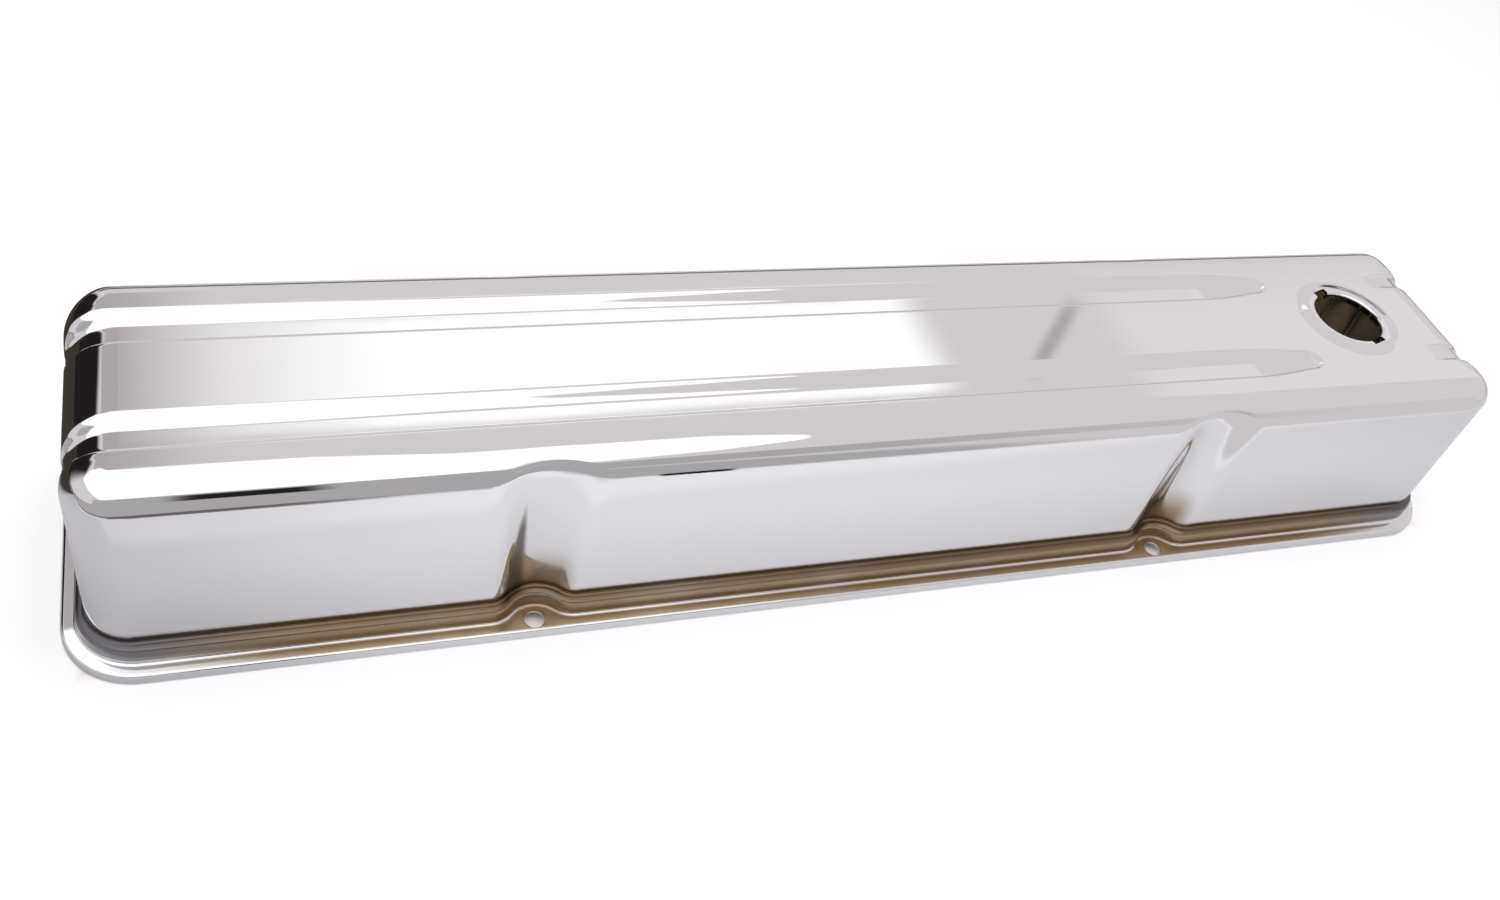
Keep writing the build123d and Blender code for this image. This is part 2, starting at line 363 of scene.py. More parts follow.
def cover_skin():
    """The outer skin of the pressing as a mesh, in metres."""
    points, faces, number = top_grid()
    nearest_i = np.abs(along[:, None] - loop[:, 0]).argmin(0)
    nearest_j = np.abs(across[:, None] - loop[:, 1]).argmin(0)
    blocks, total = [points], len(points)
    inner = number[nearest_i, nearest_j]
    stack = [(r, "body") for r in body_rings] + [(r, "root") for r in root_rings]
    stack += [(r, "lip") for r in lip_rings]
    for (out, z, facing), part in stack:
        blocks.append(ring_points(loop, out, z, facing, part))
        outer = np.arange(total, total + len(loop))
        faces += quads(inner, outer)
        inner, total = outer, total + len(loop)
    square = square_loop(number)
    turn = np.arctan2(points[square, 1], points[square, 0] - FILLER_X)
    outer = square
    for radius, z in pad_rings:
        ring = [FILLER_X + radius * np.cos(turn), radius * np.sin(turn), np.full_like(turn, z)]
        blocks.append(np.column_stack(ring))
        inner = np.arange(total, total + len(square))
        faces += quads(inner, outer)
        outer, total = inner, total + len(square)
    mesh = bpy.data.meshes.new("valve_cover_skin")
    mesh.from_pydata((np.concatenate(blocks) * MM).tolist(), [], [list(map(int, f)) for f in faces])
    made = bmesh.new()
    made.from_mesh(mesh)
    bmesh.ops.delete(made, geom=[v for v in made.verts if not v.link_faces], context="VERTS")
    made.to_mesh(mesh)
    made.free()
    mesh.validate()
    return mesh


cover = bpy.data.objects.new("cover_skin", cover_skin())
bpy.context.scene.collection.objects.link(cover)
print(len(cover.data.vertices), "points,", len(cover.data.polygons), "faces on the outer skin")

# %% [markdown]
# ## Piercing the sheet
# The press pierces four bolt holes in the flange and two bayonet notches in the filler hole.
# Drilling each by hand would repeat the same cut, so a Geometry Nodes tree stands a punch on
# each corner of a rectangle, lays one bar across the filler hole for both notches, and takes
# them all out of the sheet in one cut. Solidify gives the sheet its thickness first, because
# a cut through a skin leaves no wall in the hole.

# %% Small helpers for node trees
def node(tree, kind, **inputs):
    """A new node; inputs are named as in Blender with spaces as underscores."""
    made = tree.nodes.new(kind)
    for name, value in inputs.items():
        socket = made.inputs[name.replace("_", " ")]
        if isinstance(value, bpy.types.NodeSocket):
            tree.links.new(value, socket)
        else:
            socket.default_value = value
    return made


def maths(tree, operation, *values, clamp=False):
    """The output of a Math node on values that are numbers or sockets."""
    made = tree.nodes.new("ShaderNodeMath")
    made.operation, made.use_clamp = operation, clamp
    for socket, value in zip(made.inputs, values):
        if isinstance(value, bpy.types.NodeSocket):
            tree.links.new(value, socket)
        else:
            socket.default_value = value
    return made.outputs[0]


print("node helpers are ready")

# %% [markdown]
# The tree takes its sizes from outside by name, so one tree serves any pattern of bolts. The
# punches are instances, which a cut can't use, so they are made real before the bar joins
# them. Set Material comes last and gives the new walls of the holes the plating too.

# %% The piercing tree
def piercing_tree(material):
    """Geometry Nodes that cut the bolt holes and the filler notches out of a closed sheet."""
    tree = bpy.data.node_groups.new("pierce_the_sheet", "GeometryNodeTree")
    tree.interface.new_socket("Sheet", in_out="INPUT", socket_type="NodeSocketGeometry")
    for name in ("Bolt Spacing Along", "Bolt Spacing Across", "Bolt Hole Radius", "Punch Height",
                 "Notch Length", "Notch Width", "Notch Angle", "Filler Along", "Filler Height"):
        tree.interface.new_socket(name, in_out="INPUT", socket_type="NodeSocketFloat")
    tree.interface.new_socket("Sheet", in_out="OUTPUT", socket_type="NodeSocketGeometry")
    given = tree.nodes.new("NodeGroupInput").outputs
    spots = node(tree, "GeometryNodeMeshGrid", Size_X=given["Bolt Spacing Along"],
                 Size_Y=given["Bolt Spacing Across"], Vertices_X=2, Vertices_Y=2)
    punch = node(tree, "GeometryNodeMeshCylinder", Vertices=48, Radius=given["Bolt Hole Radius"],
                 Depth=given["Punch Height"])
    punches = node(tree, "GeometryNodeInstanceOnPoints", Points=spots.outputs["Mesh"],
                   Instance=punch.outputs["Mesh"])
    solid_punches = node(tree, "GeometryNodeRealizeInstances", Geometry=punches.outputs["Instances"])
    bar_size = node(tree, "ShaderNodeCombineXYZ", X=given["Notch Length"],
                    Y=given["Notch Width"], Z=given["Punch Height"])
    bar = node(tree, "GeometryNodeMeshCube", Size=bar_size.outputs["Vector"])
    place = node(tree, "ShaderNodeCombineXYZ", X=given["Filler Along"], Z=given["Filler Height"])
    turn = node(tree, "ShaderNodeCombineXYZ", Z=given["Notch Angle"])
    laid = node(tree, "GeometryNodeTransform", Geometry=bar.outputs["Mesh"],
                Translation=place.outputs["Vector"], Rotation=turn.outputs["Vector"])
    tools = node(tree, "GeometryNodeJoinGeometry")
    tree.links.new(solid_punches.outputs["Geometry"], tools.inputs["Geometry"])
    tree.links.new(laid.outputs["Geometry"], tools.inputs["Geometry"])
    cut = node(tree, "GeometryNodeMeshBoolean", Mesh_1=given["Sheet"],
               Mesh_2=tools.outputs["Geometry"])
    cut.operation, cut.solver = "DIFFERENCE", "MANIFOLD"
    plated = node(tree, "GeometryNodeSetMaterial", Geometry=cut.outputs["Mesh"], Material=material)
    end = tree.nodes.new("NodeGroupOutput")
    tree.links.new(plated.outputs["Geometry"], end.inputs["Sheet"])
    return tree


def set_inputs(modifier, values):
    """Sets a Geometry Nodes modifier's inputs, found by name, through their identifiers."""
    for item in modifier.node_group.interface.items_tree:
        if item.in_out == "INPUT" and item.name in values:
            modifier[item.identifier] = values[item.name]


print("the piercing tree is ready to be built")

# %% [markdown]
# ## Chrome
# Chrome plating is a mirror with a slightly cool tint. What makes it look real is what it
# reflects and the faint waves of the drawn sheet. The shade and brown reflections at the foot of
# the wall are painted into the base colour: painted shade that is warm along the middle and cool
# towards the ends, darker and duller in the corner and in the creases of the bays. A flat
# metallic colour shows none of that, so each effect is its own small group that reads Object
# coordinates, and the shader stays in the material.

# %% Helpers for shader trees
def shader_group(name, inputs, outputs):
    """A new shader group with float inputs (name: default) and named float outputs."""
    tree = bpy.data.node_groups.new(name, "ShaderNodeTree")
    for label in outputs:
        tree.interface.new_socket(label, in_out="OUTPUT", socket_type="NodeSocketFloat")
    for label, value in inputs.items():
        socket = tree.interface.new_socket(label, in_out="INPUT", socket_type="NodeSocketFloat")
        socket.default_value = value
    return tree, tree.nodes.new("NodeGroupInput").outputs, tree.nodes.new("NodeGroupOutput").inputs


def ramp(tree, value, start, end):
    """Value turned smoothly into 0 at start and 1 at end."""
    made = node(tree, "ShaderNodeMapRange", Value=value, From_Min=start, From_Max=end)
    made.interpolation_type = "SMOOTHSTEP"
    return made.outputs["Result"]


def faded(tree, value, start, end):
    """Value turned smoothly into 1 at start and 0 at end."""
    return maths(tree, "SUBTRACT", 1.0, ramp(tree, value, start, end))


def between(tree, value, rise, fall):
    """A band that comes in over rise and goes out over fall, each a (start, end) pair."""
    return maths(tree, "SUBTRACT", ramp(tree, value, *rise), ramp(tree, value, *fall))


def product(tree, first, *others):
    """All the values multiplied together."""
    for value in others:
        first = maths(tree, "MULTIPLY", first, value)
    return first


def tinted(tree, under, tint, amount, blend="MIX"):
    """A colour with a tint blended over it by an amount."""
    mix = tree.nodes.new("ShaderNodeMix")
    mix.data_type, mix.blend_type = "RGBA", blend
    if isinstance(under, bpy.types.NodeSocket):
        tree.links.new(under, mix.inputs["A"])
    else:
        mix.inputs["A"].default_value = under
    mix.inputs["B"].default_value = tint
    tree.links.new(amount, mix.inputs["Factor"])
    return mix.outputs["Result"]


def object_axes(tree):
    """Object coordinates as a vector and as x, y and z."""
    where = tree.nodes.new("ShaderNodeTexCoord").outputs["Object"]
    axes = node(tree, "ShaderNodeSeparateXYZ", Vector=where)
    return where, axes.outputs["X"], axes.outputs["Y"], axes.outputs["Z"]


print("shader helpers are ready")

# %% [markdown]
# The first group says where shade is painted into the colour. Its bands are heights above the
# gasket face and distances from a bolt, all in metres: the flat of the flange lies at 0.00465 and
# the top of the step at 0.01325. A painted map could do the same, but the bands follow the shape
# by themselves and need no picture.

# %% Where shade is painted
# Bands of painted shade and painted reflection at the root of the wall.
ABOVE_LIP = (0.0042, 0.0046)
BRIGHT_FOOT, BRIGHT_FOOT_SHARE = ((0.0047, 0.0050), (0.0056, 0.0064)), 0.85
STEP_FACE = (0.0058, 0.0068)
CORNER_BAND = ((0.0115, 0.0132), (0.0145, 0.0170))
MIDDLE_FADE, ROOT_FADE = 0.08, 1.3
# Painted shade at the foot of each bolt bay.
BAY_SHADE_ALONG, BAY_SHADE_FADE = ((-0.016, 0.002), (0.009, 0.018)), (0.016, 0.042)
CREASE_PLACE, CREASE_EDGE = 0.0085, (0.3, 1.1)
CREASE_HALF, CREASE_NARROWING, CREASE_LEAST = 0.0075, 0.095, 0.0002
CREASE_START, CREASE_FADE = (0.012, 0.014), (0.055, 0.074)


def painted_shade_group():
    """Painted shade masks: warm in the middle, cool at the ends, dark corner and bay creases."""
    tree, given, out = shader_group(
        "painted_shade", {"Root Height": 0.0145, "Half Length": 0.25, "Patchiness": 0.5},
        ("Mask", "Cool", "Corner", "Crease"))
    where, x, _, z = object_axes(tree)
    half_length, root = given["Half Length"], given["Root Height"]
    middle_end = maths(tree, "ADD", half_length, MIDDLE_FADE)
    middle = faded(tree, maths(tree, "ABSOLUTE", x), half_length, middle_end)
    low = faded(tree, z, root, maths(tree, "MULTIPLY", root, ROOT_FADE))
    above_lip = ramp(tree, z, *ABOVE_LIP)
    # Painted highlight: the painted shade is lifted along the foot of the step.
    bright_foot = product(tree, between(tree, z, *BRIGHT_FOOT), BRIGHT_FOOT_SHARE)
    low = product(tree, maths(tree, "SUBTRACT", low, bright_foot), above_lip)
    bolt = product(tree, maths(tree, "SIGN", x), BOLT_X * MM)
    from_bolt = maths(tree, "SUBTRACT", x, bolt)
    # Painted shade at the foot of each bay, near its bolt.
    bay_shade = product(tree, between(tree, from_bolt, *BAY_SHADE_ALONG), faded(tree, z, *BAY_SHADE_FADE))
    cloud = node(tree, "ShaderNodeTexNoise", Vector=where, Scale=30.0, Detail=3.0)
    patch = product(tree, maths(tree, "SUBTRACT", cloud.outputs["Fac"], 0.5), given["Patchiness"])
    step = ramp(tree, z, *STEP_FACE)
    warm = product(tree, low, maths(tree, "MAXIMUM", step, middle))
    warm = product(tree, maths(tree, "MAXIMUM", warm, bay_shade), maths(tree, "ADD", 1.0, patch))
    tree.links.new(maths(tree, "MULTIPLY", warm, above_lip, clamp=True), out["Mask"])
    cool = product(tree, low, step, maths(tree, "SUBTRACT", 1.0, middle))
    tree.links.new(cool, out["Cool"])
    # Painted shade in the concave corner round the foot of the wall.
    tree.links.new(between(tree, z, *CORNER_BAND), out["Corner"])
    # Painted shade in the crease of each bay, narrower towards the top.
    narrowed = maths(tree, "SUBTRACT", CREASE_HALF, product(tree, z, CREASE_NARROWING))
    crease_half = maths(tree, "MAXIMUM", narrowed, CREASE_LEAST)
    off_crease = maths(tree, "ABSOLUTE", maths(tree, "ADD", from_bolt, CREASE_PLACE))
    in_crease = faded(tree, maths(tree, "DIVIDE", off_crease, crease_half), *CREASE_EDGE)
    crease = product(tree, in_crease, ramp(tree, z, *CREASE_START), faded(tree, z, *CREASE_FADE))
    tree.links.new(crease, out["Crease"])
    return tree


painted_shade = painted_shade_group()
print("group:", painted_shade.name)

# %% [markdown]
# The other two groups are what a hand would feel and a breath would show: the sheet isn't
# quite flat after drawing, the buffing wheel leaves a fine skin, and handling leaves a haze.
# The waves are heights for a Bump node, because real geometry that fine would take millions
# of faces.

# %% Waves and haze
def sheet_waves_group():
    """Heights of the drawn sheet: long faint waves and a fine skin left by the buffing wheel."""
    tree, given, out = shader_group(
        "sheet_waves", {"Wave Height": 0.00004, "Skin Height": 0.0000004}, ("Height",))
    where = tree.nodes.new("ShaderNodeTexCoord").outputs["Object"]
    squeezed = node(tree, "ShaderNodeMapping", Vector=where, Scale=(0.35, 1.0, 1.0)).outputs["Vector"]
    waves = node(tree, "ShaderNodeTexNoise", Vector=squeezed, Scale=22.0, Detail=1.0)
    skin = node(tree, "ShaderNodeTexNoise", Vector=where, Scale=1400.0, Detail=1.0)
    height = maths(tree, "ADD", product(tree, waves.outputs["Fac"], given["Wave Height"]),
                   product(tree, skin.outputs["Fac"], given["Skin Height"]))
    tree.links.new(height, out["Height"])
    return tree


def haze_group():
    """Faint haze of handling and buffing, which varies the gloss."""
    tree, given, out = shader_group("handling_haze", {"Least": 0.02, "Most": 0.06}, ("Roughness",))
    where = tree.nodes.new("ShaderNodeTexCoord").outputs["Object"]
    cloud = node(tree, "ShaderNodeTexNoise", Vector=where, Scale=45.0, Detail=6.0, Roughness=0.65)
    made = node(tree, "ShaderNodeMapRange", Value=cloud.outputs["Fac"], From_Min=0.35, From_Max=0.7,
                To_Min=given["Least"], To_Max=given["Most"])
    tree.links.new(made.outputs["Result"], out["Roughness"])
    return tree


def placed(tree, group, **inputs):
    """A shader group placed in a material with its own values."""
    made = tree.nodes.new("ShaderNodeGroup")
    made.node_tree = group
    for name, value in inputs.items():
        made.inputs[name.replace("_", " ")].default_value = value
    return made


sheet_waves, haze = sheet_waves_group(), haze_group()
print("groups:", sheet_waves.name, haze.name)

# %% [markdown]
# The material lays the painted shade over the chrome, one tint after another: warm, cool, the
# darker corner and the darker creases. Where the shade is painted the gloss goes too, so the
# same masks raise the roughness. The whole part stays metallic.

# %% The chrome material
CHROME = (0.80, 0.80, 0.815, 1)
# Painted shade and painted reflection: warm and cool tints, darker tints for corner and creases.
WARM_PAINTED_SHADE = (0.34, 0.265, 0.17, 1)
COOL_PAINTED_SHADE = (0.24, 0.235, 0.26, 1)
CORNER_PAINTED_SHADE = (0.50, 0.48, 0.47, 1)
CREASE_PAINTED_SHADE = (0.30, 0.27, 0.25, 1)
SHADED_ROUGHNESS, CREASE_ROUGHNESS = 0.24, 0.30


def chrome_material():
    """Chrome with painted shade over it, faint waves, and less gloss where the shade is painted."""
    material = bpy.data.materials.new("chrome_plating")
    material.use_nodes = True
    tree = material.node_tree
    shader = tree.nodes["Principled BSDF"]
    shader.inputs["Metallic"].default_value = 1.0
    # Masks of the painted shade at the root, the corner and the bay creases.
    shade_masks = placed(tree, painted_shade, Root_Height=0.0145, Half_Length=0.24, Patchiness=0.5)
    colour = CHROME
    for tint, mask, blend in ((WARM_PAINTED_SHADE, "Mask", "MIX"), (COOL_PAINTED_SHADE, "Cool", "MIX"),
                              (CORNER_PAINTED_SHADE, "Corner", "MULTIPLY"),
                              (CREASE_PAINTED_SHADE, "Crease", "MULTIPLY")):
        colour = tinted(tree, colour, tint, shade_masks.outputs[mask], blend)
    tree.links.new(colour, shader.inputs["Base Color"])
    gloss = placed(tree, haze, Least=0.03, Most=0.06).outputs["Roughness"]
    shaded_or_corner = maths(tree, "MAXIMUM", shade_masks.outputs["Mask"], shade_masks.outputs["Corner"])
    dull = maths(tree, "MAXIMUM", product(tree, shaded_or_corner, SHADED_ROUGHNESS),
                 product(tree, shade_masks.outputs["Crease"], CREASE_ROUGHNESS))
    tree.links.new(maths(tree, "MAXIMUM", gloss, dull), shader.inputs["Roughness"])
    waves = placed(tree, sheet_waves, Wave_Height=0.00006, Skin_Height=0.0000003)
    bump = node(tree, "ShaderNodeBump", Height=waves.outputs["Height"], Strength=1.0, Distance=1.0)
    tree.links.new(bump.outputs["Normal"], shader.inputs["Normal"])
    return material


chrome = chrome_material()
print("material:", chrome.name)

# %% [markdown]
# ## Sheet thickness, piercing and shading
# The skin gets its thickness inwards, so the outside keeps its size. The holes are cut, the
# result becomes a plain mesh, and only real edges stay sharp. Smooth shading alone would smear
# the light round the rims of the holes, so every edge past an angle is marked sharp.

# %% Finish the cover
NOTCH_REACH, NOTCH_WIDTH, NOTCH_ANGLE = 3.0, 8.5, 108.0
EDGE_ANGLE = 38.0
PUNCH_HEIGHT = 0.014


def finished(obj, name):
    """The object with its modifiers taken into a new plain mesh and object."""
    depsgraph = bpy.context.evaluated_depsgraph_get()
    mesh = bpy.data.meshes.new_from_object(obj.evaluated_get(depsgraph))
    mesh.name = name
    made = bpy.data.objects.new(name, mesh)
    bpy.context.scene.collection.objects.link(made)
    bpy.data.objects.remove(obj)
    return made


cover.data.materials.append(chrome)
thickness = cover.modifiers.new("sheet", "SOLIDIFY")
thickness.thickness, thickness.offset = SHEET * MM, -1.0
thickness.use_even_offset = True
pierce = cover.modifiers.new("pierce", "NODES")
pierce.node_group = piercing_tree(chrome)
set_inputs(pierce, {
    "Bolt Spacing Along": 2 * BOLT_X * MM, "Bolt Spacing Across": 2 * BOLT_Y * MM,
    "Bolt Hole Radius": BOLT_HOLE_R * MM, "Punch Height": PUNCH_HEIGHT,
    "Notch Length": 2 * (HOLE_R + NOTCH_REACH) * MM, "Notch Width": NOTCH_WIDTH * MM,
    "Notch Angle": math.radians(NOTCH_ANGLE), "Filler Along": FILLER_X * MM,
    "Filler Height": PAD_TOP * MM})
cover = finished(cover, "valve_cover_pressing")
cover.data.shade_smooth()
cover.data.set_sharp_from_angle(angle=math.radians(EDGE_ANGLE))
cover.data.calc_loop_triangles()
print(len(cover.data.loop_triangles), "triangles, box", [round(v, 4) for v in cover.dimensions])

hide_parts("valve_cover")
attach(cover, "root")

# %% [markdown]
# ## The studio round the cover
# A mirror shows the room, so the room is part of the finish. A white table runs a short way in
# front of the cover, and past its edge the room is grey. A large white panel hangs overhead,
# white panels and a shade stand behind, and dark cloths stand at the left. Real lamps would
# also light the table, so these are flat cards that glow and are seen in reflections only.
# All but the overhead panel have soft edges, because a hard edge shows in the chrome as a line.

# %% Cards seen only in the chrome
def card_material(name, colour, far_colour, soft, change):
    """Light that goes from one colour to another along the card, where change says, and fades
    out towards each edge: soft is (low x, high x, low y, high y), in shares of the half size."""
    material = bpy.data.materials.new(name)
    material.use_nodes = True
    tree = material.node_tree
    tree.nodes.remove(tree.nodes["Principled BSDF"])
    clear = tree.nodes.new("ShaderNodeBsdfTransparent")
    _, x, y, _ = object_axes(tree)
    blended = tinted(tree, (*colour, 1), (*far_colour, 1), ramp(tree, x, *change))
    glow = node(tree, "ShaderNodeEmission", Color=blended, Strength=1.0)
    amount = 1.0
    for value, margin in ((product(tree, x, -1.0), soft[0]), (x, soft[1]),
                          (product(tree, y, -1.0), soft[2]), (y, soft[3])):
        amount = product(tree, amount, faded(tree, value, 1 - margin, 1.0))
    blend = node(tree, "ShaderNodeMixShader", Fac=amount)
    tree.links.new(clear.outputs[0], blend.inputs[1])
    tree.links.new(glow.outputs[0], blend.inputs[2])
    tree.links.new(blend.outputs[0], tree.nodes["Material Output"].inputs["Surface"])
    return material


def flat_mesh(name):
    """A level square, one either way from its middle."""
    mesh = bpy.data.meshes.new(name)
    mesh.from_pydata([(-1, -1, 0), (1, -1, 0), (1, 1, 0), (-1, 1, 0)], [], [(0, 1, 2, 3)])
    return mesh


def seen_in_chrome(made):
    """The object shows in reflections only, and isn't part of the cover."""
    made.visible_camera = made.visible_diffuse = made.visible_shadow = False
    made.visible_transmission = made.visible_volume_scatter = False
    bpy.context.scene.collection.objects.link(made)


def card(name, centre, half_size, plane, colour, soft, far_colour=None, change=(0.1, 0.7)):
    """A flat card with soft edges, laid in a plane given by two directions."""
    made = bpy.data.objects.new(name, flat_mesh(name))
    made.data.materials.append(card_material(name, colour, far_colour or colour, soft, change))
    rightwards, upwards = plane
    turn = Matrix((rightwards, upwards, Vector(rightwards).cross(upwards))).transposed().to_4x4()
    made.matrix_world = Matrix.Translation(centre) @ turn @ Matrix.Diagonal((*half_size, 1, 1))
    seen_in_chrome(made)


def ceiling_panel(name, outline, height, colour, strength):
    """A level panel of any outline, seen from below."""
    mesh = bpy.data.meshes.new(name)
    mesh.from_pydata([(x, y, height) for x, y in outline], [], [range(len(outline))])
    made = bpy.data.objects.new(name, mesh)
    material = bpy.data.materials.new(name)
    material.use_nodes = True
    tree = material.node_tree
    glow = node(tree, "ShaderNodeEmission", Color=(*colour, 1), Strength=strength)
    tree.nodes.remove(tree.nodes["Principled BSDF"])
    tree.links.new(glow.outputs[0], tree.nodes["Material Output"].inputs["Surface"])
    mesh.materials.append(material)
    seen_in_chrome(made)


print("cards can be made from one flat square each")

# %% [markdown]
# ## The table
# The cover stands on a plain white table. To the eye the table is white right up to the
# cover, while in the chrome it is a pale band, a little brighter along its front edge and
# dimmer towards both ends. One plane does both, because its glow asks what kind of ray has
# met it. Under the cover the glow stops and the table is painted brown, a painted shade that
# keeps the inside dark and warm through the filler hole.

# %% Table
TABLE_SEEN, TABLE_IN_CHROME, TABLE_EDGE = 0.38, 0.12, 0.10
TABLE_FRONT, BAND_WIDTH, BAND_SLANT, BAND_FADE = 0.130, 0.0095, 0.023, (-0.006, 0.003)
RIGHT_DIM, RIGHT_DIM_X = 0.10, (0.0, 0.45)
LEFT_DIM, LEFT_DIM_X = 0.20, (-0.16, -0.34)
UNDER_END_X, UNDER_SIDE_Y = (0.315, 0.33), (0.05, 0.064)
# Under the cover the table is painted brown: a painted shade seen through the filler hole.
UNDER_COVER_PAINTED_SHADE, TABLE_WHITE = (0.60, 0.45, 0.30, 1), (0.78, 0.78, 0.80, 1)
TABLE_HALF, TABLE_DROP = 6, 0.0004


def table_shine(tree, x, y):
    """How bright the table is in the chrome."""
    band = maths(tree, "SUBTRACT", BAND_WIDTH, product(tree, x, BAND_SLANT))
    past_band = maths(tree, "ADD", y, maths(tree, "SUBTRACT", TABLE_FRONT, band))
    edge = product(tree, faded(tree, past_band, *BAND_FADE), TABLE_EDGE)
    shine = maths(tree, "ADD", TABLE_IN_CHROME, edge)
    shine = maths(tree, "SUBTRACT", shine, product(tree, ramp(tree, x, *RIGHT_DIM_X), RIGHT_DIM))
    return maths(tree, "SUBTRACT", shine, product(tree, ramp(tree, x, *LEFT_DIM_X), LEFT_DIM))


def table_material():
    """White table: white to the camera, pale in the chrome, painted brown shade under the cover."""
    material = bpy.data.materials.new("white_table")
    material.use_nodes = True
    tree = material.node_tree
    shader = tree.nodes["Principled BSDF"]
    shader.inputs["Roughness"].default_value = 0.9
    shader.inputs["Specular IOR Level"].default_value = 0.0
    rays = tree.nodes.new("ShaderNodeLightPath").outputs
    _, x, y, _ = object_axes(tree)
    seen = maths(tree, "ADD", product(tree, rays["Is Camera Ray"], TABLE_SEEN),
                 product(tree, rays["Is Glossy Ray"], table_shine(tree, x, y)))
    under_x = ramp(tree, maths(tree, "ABSOLUTE", x), *UNDER_END_X)
    under_y = ramp(tree, maths(tree, "ABSOLUTE", y), *UNDER_SIDE_Y)
    outside = maths(tree, "MAXIMUM", under_x, under_y)
    # Painted brown shade under the cover, white table outside it.
    base = tinted(tree, UNDER_COVER_PAINTED_SHADE, TABLE_WHITE, outside)
    tree.links.new(base, shader.inputs["Base Color"])
    shader.inputs["Emission Color"].default_value = (1, 1, 1, 1)
    tree.links.new(product(tree, seen, outside), shader.inputs["Emission Strength"])
    return material


table = bpy.data.objects.new("table", flat_mesh("table"))
table.data.transform(Matrix.Diagonal((TABLE_HALF, TABLE_HALF, 1, 1)))
table.location.z = -TABLE_DROP
table.data.materials.append(table_material())
bpy.context.scene.collection.objects.link(table)
print("table", 2 * TABLE_HALF, "m wide")

# %% [markdown]
# ## Panels and cloths
# Each card stands where one band of light or dark in the chrome comes from. The overhead
# panel lights the flat top, and its slanted outline makes the long highlights on the grooves.
# The rear cards light the shoulder behind, the front room and floor fill the wall, and the
# black cloths at the left and the camera's stand give the dark shapes that tell chrome from
# grey paint.

# %% Panels and cloths seen in the chrome
ALONG, BACK, UPWARD, LEFT_BACK = (1, 0, 0), (0, 1, 0), (0, 0, 1), (-0.707, -0.707, 0)
LEVEL, UPRIGHT, TURNED_LEFT = (ALONG, BACK), (ALONG, UPWARD), (LEFT_BACK, UPWARD)
SLANTED = ((0.72, -0.69, 0), (0.69, 0.72, 0))
WHITE, PANEL, PALE, SHADE = (1, 1, 1), (1.3, 1.3, 1.3), (0.88, 0.84, 0.85), (0.50, 0.46, 0.47)
EDGE_DARK = (0.17, 0.14, 0.14)
CLOTH_GREY, CLOTH_PALE = (0.47, 0.455, 0.46), (0.72, 0.68, 0.68)
CLOTH_BROWN = (0.13, 0.105, 0.10)
CLOTH_BLACK, CLOTH_OLIVE = (0.018, 0.014, 0.014), (0.05, 0.045, 0.035)
OVERHEAD_HEIGHT, OVERHEAD_STRENGTH = 1.6, 1.3
OVERHEAD_OUTLINE = [
    (-3.0, -5.0), (-0.02, -4.4), (0.37, -3.5), (0.65, -2.7), (0.74, -2.0), (0.69, -1.0),
    (0.60, -0.46), (0.42, 0.15), (0.03, 0.22), (-0.15, 1.05), (-0.44, 1.25), (-3.0, 1.25)]
ceiling_panel("overhead_panel", OVERHEAD_OUTLINE, OVERHEAD_HEIGHT, WHITE, OVERHEAD_STRENGTH)
card("rear_panel", (0.31, 1.43, 1.49), (0.83, 0.15), LEVEL, PANEL, (0.75, 0.15, 0.1, 0.1))
card("rear_shade", (-0.80, 1.45, 1.50), (0.55, 0.42), LEVEL, SHADE, (0.1, 0.45, 0.1, 0.1))
card("rear_far", (2.46, 1.35, 1.51), (0.95, 0.40), LEVEL, PALE, (0.12, 0.1, 0.2, 0.7))
card("rear_edge", (1.40, 1.44, 1.50), (0.030, 0.20), SLANTED, SHADE, (0.95, 0.95, 0.6, 0.6))
card("rear_room", (1.5, 2.2, 0.40), (2.6, 0.26), UPRIGHT, CLOTH_BROWN, (0.1, 0.1, 0.3, 0.7))
card("front_room", (0.2, -1.7, 0.40), (2.6, 0.42), UPRIGHT, CLOTH_GREY, (0.1, 0.1, 0.02, 0.15),
     CLOTH_PALE)
card("front_floor", (0.2, -0.92, 0.001), (2.6, 0.79), LEVEL, CLOTH_GREY, (0.1, 0.1, 0.01, 0.01),
     CLOTH_PALE, (-0.045, 0.0))
card("left_cloth", (-0.89, 0.57, 0.30), (0.42, 0.36), TURNED_LEFT, CLOTH_BLACK,
     (0.2, 0.8, 0.05, 0.3))
card("left_floor", (-0.88, 0.57, 0.001), (0.55, 0.55), LEVEL, CLOTH_OLIVE, (0.1, 0.05, 0.1, 0.1))
card("camera_stand", (-0.25, -1.5, 0.34), (0.12, 0.27), UPRIGHT, CLOTH_BLACK, (0.35, 0.5, 0.2, 0.2))
card("table_edge", (-0.90, -0.138, 0.0012), (0.72, 0.008), LEVEL, EDGE_DARK, (0.1, 0.1, 0.3, 0.2))
card("table_mark", (-0.06, -0.134, 0.0013), (0.022, 0.004), LEVEL, CLOTH_BLACK,
     (0.3, 0.3, 0.2, 0.2))

# %% [markdown]
# ## Room light
# Soft light from above gives the table its faint contact shadow. It is hidden from the chrome,
# which has its own cards. The world is bright to the camera, a little dimmer in the chrome
# where no panel stands, and weak as a light on the table.

# %% World and lamp
ROOM_TINT = (1.0, 0.945, 0.945, 1)
ROOM_IN_CHROME, ROOM_LIGHT = 0.77, 0.35
LAMP_LENGTH, LAMP_WIDTH, LAMP_WATTS = 1.6, 1.2, 18.0
LAMP_PLACE = (0.0, 0.1, 1.5)


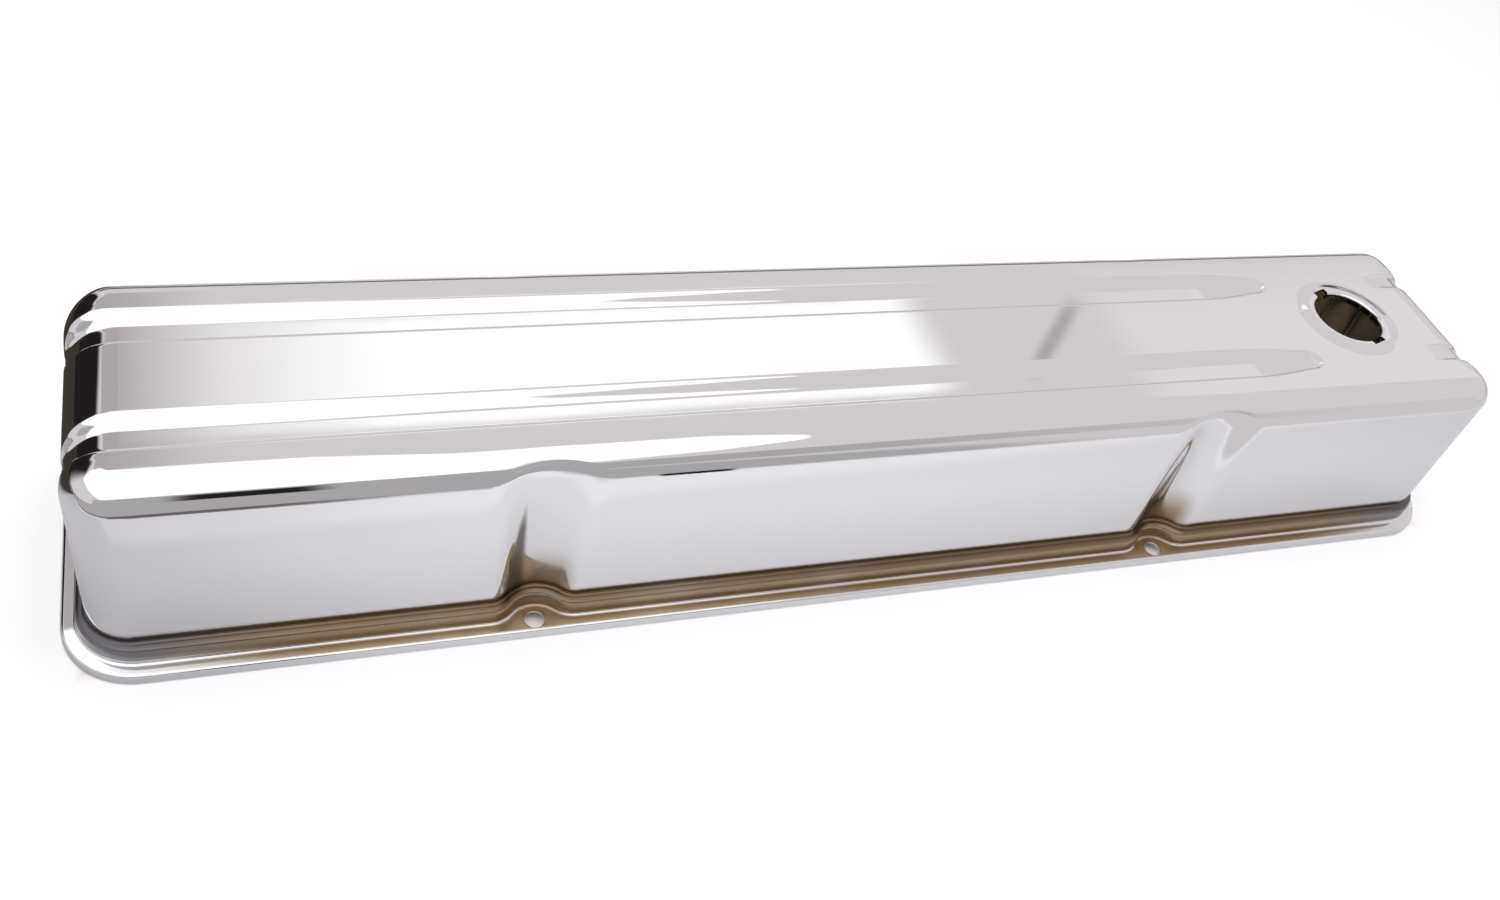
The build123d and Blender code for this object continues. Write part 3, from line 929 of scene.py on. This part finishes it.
def room():
    """A world whose brightness depends on the kind of ray that reaches it."""
    world = bpy.data.worlds.new("room")
    bpy.context.scene.world = world
    world.use_nodes = True
    tree = world.node_tree
    rays = tree.nodes.new("ShaderNodeLightPath").outputs
    background = tree.nodes["Background"]
    level = maths(tree, "ADD", rays["Is Camera Ray"],
                  product(tree, rays["Is Glossy Ray"], ROOM_IN_CHROME))
    level = maths(tree, "ADD", level, product(tree, rays["Is Diffuse Ray"], ROOM_LIGHT))
    background.inputs["Color"].default_value = ROOM_TINT
    tree.links.new(level, background.inputs["Strength"])


room()
lamp = bpy.data.objects.new("soft_overhead", bpy.data.lights.new("soft_overhead", "AREA"))
lamp.data.shape = "RECTANGLE"
lamp.data.size, lamp.data.size_y = LAMP_LENGTH, LAMP_WIDTH
lamp.data.energy = LAMP_WATTS
lamp.location = LAMP_PLACE
lamp.visible_glossy = False
bpy.context.scene.collection.objects.link(lamp)
print("lamp", lamp.data.size, "by", round(lamp.data.size_y, 3), "m")

# %% [markdown]
# ## Camera
# The camera stands in front and to the left, looking down along the cover, and is a little
# tilted. Its lens is given by a focal length in pixels of a picture 1500 wide. A camera can be
# aimed with a constraint, but three angles say exactly how it is held.

# %% Camera
YAW, PITCH, ROLL = 0.511713, 0.782129, 0.301887
CAMERA_PLACE = (-0.263695, -0.387450, 0.473450)
FOCAL_PIXELS, PICTURE_WIDTH = 1374.5, 1500.0
SENSOR, NEAREST = 36.0, 0.01
camera = bpy.data.objects.new("camera", bpy.data.cameras.new("camera"))
camera.data.sensor_width = SENSOR
camera.data.lens = SENSOR * FOCAL_PIXELS / PICTURE_WIDTH
camera.data.clip_start = NEAREST
ahead = Vector((math.sin(YAW) * math.cos(PITCH), math.cos(YAW) * math.cos(PITCH),
                -math.sin(PITCH)))
level_right = Vector((math.cos(YAW), -math.sin(YAW), 0))
level_up = level_right.cross(ahead)
right = math.cos(ROLL) * level_right + math.sin(ROLL) * level_up
up = right.cross(ahead)
camera.matrix_world = Matrix.Translation(CAMERA_PLACE) @ Matrix(
    (right, up, -ahead)).transposed().to_4x4()
bpy.context.scene.collection.objects.link(camera)
bpy.context.scene.camera = camera
bpy.context.scene.view_settings.view_transform = "Standard"
print("lens", round(camera.data.lens, 2), "mm")
